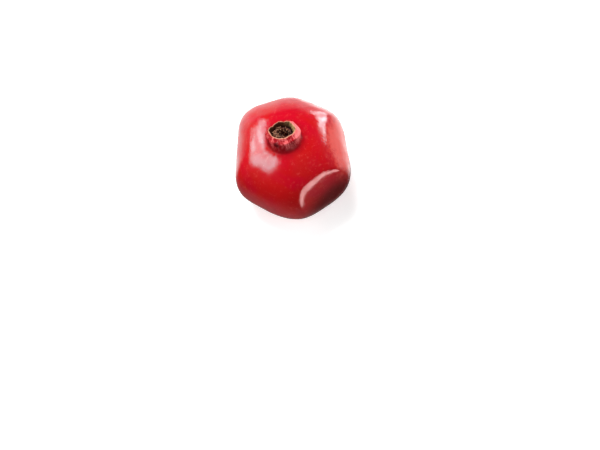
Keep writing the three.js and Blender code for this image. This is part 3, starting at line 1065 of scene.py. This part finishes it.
LINING_DARK = (0.04, 0.005, 0.006)
LINING_BROWN = (0.11, 0.026, 0.016)
LINING_FOLDS = (-0.12, 0)
LINING_FIBRES = (1300, 4, 0.65)
LINING_FIBRES_SPAN = (0.4, 0.65)
LINING_ROUGHNESS = (0, 1, 0.75, 0.95)
LINING_SPECULAR = 0.2
LINING_GRAIN = (2200, 4)
LINING_GRAIN_DEPTH = 0.0001

BARK_DARK = (0.06, 0.03, 0.017)
BARK_PALE = (0.24, 0.14, 0.075)
BARK_GROOVES_SPAN = (-0.14, -0.01)
BARK_ROUGHNESS = (0, 1, 0.95, 0.8)
BARK_GRAIN = (2500, 4)
BARK_GRAIN_DEPTH = 0.00012
CUT_WOOD = (0.45, 0.31, 0.18)
CUT_PATCHES = (1400, 3)
CUT_PATCHES_SPAN = (0.4, 0.6)
CUT_FACING = (-0.6, -0.9)  # how far down the cut end faces

DRY_SPECULAR = 0.25


def grained(tree, place, noise_settings, depth):
    return bumped(tree, [(noise_of(tree, place, *noise_settings), depth)])


def stamen_material():
    material, tree, shader = new_material("dried_stamens")
    place = place_on_mesh(tree)
    tone = attribute(tree, "tone")
    mottled = math_of(tree, "ADD", tone, noise_of(tree, place, *STAMEN_MOTTLES))
    filament = mixed(tree, ranged(tree, mottled, *STAMEN_SPAN), STAMEN_ROOT, STAMEN_BROWN)
    anther = mixed(tree, ranged(tree, mottled, *ANTHER_SPAN), ANTHER_BROWN, ANTHER_TAN)
    inputs = {
        "Base Color": mixed(tree, attribute(tree, "is_anther"), filament, anther),
        "Roughness": ranged(tree, tone, *STAMEN_ROUGHNESS),
        "Specular IOR Level": DRY_SPECULAR,
        "Normal": grained(tree, place, STAMEN_GRAIN, STAMEN_GRAIN_DEPTH),
    }
    feed_all(tree, shader, inputs)
    return material


def lining_material():
    material, tree, shader = new_material("cup_lining")
    place = place_on_mesh(tree)
    folds = ranged(tree, attribute(tree, "relief"), *LINING_FOLDS)
    fibres = patches(tree, place, LINING_FIBRES, *LINING_FIBRES_SPAN)
    inputs = {
        "Base Color": mixed(tree, product(tree, folds, fibres), LINING_DARK, LINING_BROWN),
        "Roughness": ranged(tree, fibres, *LINING_ROUGHNESS),
        "Specular IOR Level": LINING_SPECULAR,
        "Normal": grained(tree, place, LINING_GRAIN, LINING_GRAIN_DEPTH),
    }
    feed_all(tree, shader, inputs)
    return material


def stem_material():
    material, tree, shader = new_material("stem_wood")
    place = place_on_mesh(tree)
    grooves = ranged(tree, attribute(tree, "relief"), *BARK_GROOVES_SPAN)
    bark = mixed(tree, grooves, BARK_DARK, BARK_PALE)
    cut = mixed(tree, patches(tree, place, CUT_PATCHES, *CUT_PATCHES_SPAN), BARK_PALE, CUT_WOOD)
    inputs = {
        "Base Color": mixed(tree, ranged(tree, facing_up(tree), *CUT_FACING), bark, cut),
        "Roughness": ranged(tree, grooves, *BARK_ROUGHNESS),
        "Specular IOR Level": DRY_SPECULAR,
        "Normal": grained(tree, place, BARK_GRAIN, BARK_GRAIN_DEPTH),
    }
    feed_all(tree, shader, inputs)
    return material


# ---- The stage: floor, light and camera ----

EYE_ELEVATION = math.radians(66)
EYE_DISTANCE = 1.065
LENS = 85  # millimetres, as is the width of the sensor
SENSOR = 36
IMAGE = (600, 450)
FRUIT_PIXEL = (293, 158)  # where the fruit's middle is in the image
FRUIT_MIDDLE = Vector((0, 0, 0.0384))

# Tints. The bluish ones come out a pinkish white where they are mirrored over the skin's red.
WHITE = (1, 1, 1)
DAYLIGHT = (0.3, 0.95, 1)
PALE_DAYLIGHT = (0.65, 0.96, 1)
EMBER = (1, 0.68, 0.66)

LIGHT_DISTANCE = 0.9

# What the skin mirrors: the azimuth and elevation of each, the degrees that it spans across and
# up, its radiance, how far it is rolled, and its tint.
WINDOWS = {
    "left_window": (179, 30.5, (72, 34), 9.7, 21, DAYLIGHT),
    "window_end": (136, 31, (24, 18), 8.5, 20, DAYLIGHT),
    "right_window": (55, 6.5, (39, 28), 7.5, -37, PALE_DAYLIGHT),
    "window_core": (45, 12, (22, 28), 8, -37, PALE_DAYLIGHT),
    "edge_strip": (-49, -5, (25, 27), 11, 0, EMBER),
    "strip_foot": (-55, -24, (12, 16), 8, 0, EMBER),
    "strip_end": (-28, -20, (16, 14), 13, 0, EMBER),
}

# What lights the fruit, and isn't mirrored: azimuth, elevation, span and radiance.
FILLS = {
    "ceiling": (128, 65, (27, 27), 18.5),
    "left_fill": (195, 25, (60, 50), 2.7),
    "right_fill": (14, 4, (56, 50), 2.8),
    "front_fill": (310, 60, (40, 40), 1.9),
    "bounce": (285, -62, (70, 50), 4.5),
}

# The sky's soft glows: the way to each, the cosines at which it fades out and is full, strength.
GLOWS = (
    ((-0.25, 0.86, -0.45), 0.64, 0.84, 1.2),
    ((0.77, 0.34, -0.54), 0.86, 0.945, 1.15),
    ((0.45, 0.65, -0.62), 0.9, 0.96, 1.2),
    ((-0.3, 0, -0.95), 0.7, 0.95, 0.14),
    ((0.4, -0.09, -0.91), 0.95, 0.99, 0.2),
)
DARKEST = 0.02

FLOOR_SIZE = 12
FLOOR_GREY = (0.8, 0.8, 0.8)
FLOOR_ROUGHNESS = 0.9
FLOOR_GLOW = 0.45


def floor():
    bpy.ops.mesh.primitive_plane_add(size=FLOOR_SIZE)
    plane = bpy.context.object
    plane.name = "floor"
    material, tree, shader = new_material("floor")
    inputs = {
        "Base Color": FLOOR_GREY,
        "Roughness": FLOOR_ROUGHNESS,
        "Emission Color": WHITE,
        "Emission Strength": FLOOR_GLOW,
    }
    feed_all(tree, shader, inputs)
    plane.data.materials.append(material)
    plane.visible_diffuse = False
    plane.visible_glossy = False
    plane.visible_shadow = False


def softbox(name, azimuth, elevation, spread, radiance, roll=0, tint=WHITE):
    """A rectangular light that faces the fruit's middle and is spread over these degrees."""
    size = [2 * LIGHT_DISTANCE * math.tan(math.radians(angle) / 2) for angle in spread]
    light = bpy.data.lights.new(name, "AREA")
    light.shape = "RECTANGLE"
    light.size, light.size_y = size
    light.energy = math.pi * size[0] * size[1] * radiance
    light.color = tint
    lamp = bpy.data.objects.new(name, light)
    bpy.context.scene.collection.objects.link(lamp)
    away = Vector(direction(azimuth, elevation))
    rolled = Quaternion((0, 0, 1), math.radians(roll))
    lamp.location = FRUIT_MIDDLE + away * LIGHT_DISTANCE
    lamp.rotation_mode = "QUATERNION"
    lamp.rotation_quaternion = away.to_track_quat("Z", "Y") @ rolled
    lamp.visible_camera = False
    return lamp


def lights():
    for name, settings in WINDOWS.items():
        softbox(name, *settings).visible_diffuse = False
    for name, settings in FILLS.items():
        softbox(name, *settings).visible_glossy = False


def world():
    """A sky that is dark but for soft glows low down behind, to the right and below."""
    sky = bpy.data.worlds.new("studio")
    bpy.context.scene.world = sky
    sky.use_nodes = True
    tree = sky.node_tree
    view = node(tree, "TexCoord").outputs["Generated"]
    strength = DARKEST
    for towards, faint, full, bright in GLOWS:
        facing = node(tree, "VectorMath", {0: view, 1: towards}, operation="DOT_PRODUCT")
        glow = ranged(tree, facing.outputs["Value"], faint, full, 0, bright)
        strength = math_of(tree, "ADD", glow, strength)
    feed_all(tree, tree.nodes["Background"], {"Strength": strength, "Color": WHITE})


def camera():
    """An eye that looks down at the fruit, turned so that it falls on its pixel of the image."""
    back = Vector((0, -math.cos(EYE_ELEVATION), math.sin(EYE_ELEVATION)))
    data = bpy.data.cameras.new("eye")
    data.lens = LENS
    data.sensor_width = SENSOR
    eye = bpy.data.objects.new("eye", data)
    bpy.context.scene.collection.objects.link(eye)
    eye.location = FRUIT_MIDDLE + back * EYE_DISTANCE
    pixel = SENSOR / IMAGE[0]
    right = (FRUIT_PIXEL[0] - IMAGE[0] / 2) * pixel
    up = (IMAGE[1] / 2 - FRUIT_PIXEL[1]) * pixel
    tilt = Quaternion((1, 0, 0), -math.atan2(up, LENS))
    pan = Quaternion((0, 1, 0), math.atan2(right, LENS))
    eye.rotation_mode = "QUATERNION"
    eye.rotation_quaternion = (-back).to_track_quat("-Z", "Y") @ tilt @ pan
    bpy.context.scene.camera = eye


# ---- The scene ----


def fruit_shift():
    """From the form's own axes, in metres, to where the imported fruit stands."""
    plain = stand(fruit_surface(outline(), azimuths(SEGMENTS))).reshape(-1, 3) * MM
    low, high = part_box("fruit")
    centre = (plain.min(0) + plain.max(0)) / 2
    return np.array([(low.x + high.x) / 2 - centre[0], (low.y + high.y) / 2 - centre[1], 0])


SHIFT = fruit_shift()

for piece, replaced, slot in (
    (fruit(rind_material()), "fruit", "rind"),
    (lining(lining_material()), "stamens", "dried_stamens"),
    (stamens(stamen_material()), "stamens", "dried_stamens"),
    (stem(stem_material()), "stem", "stem_wood"),
):
    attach(piece, "root")
    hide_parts(replaced)

floor()
lights()
world()
camera()
bpy.context.scene.view_settings.view_transform = "Standard"
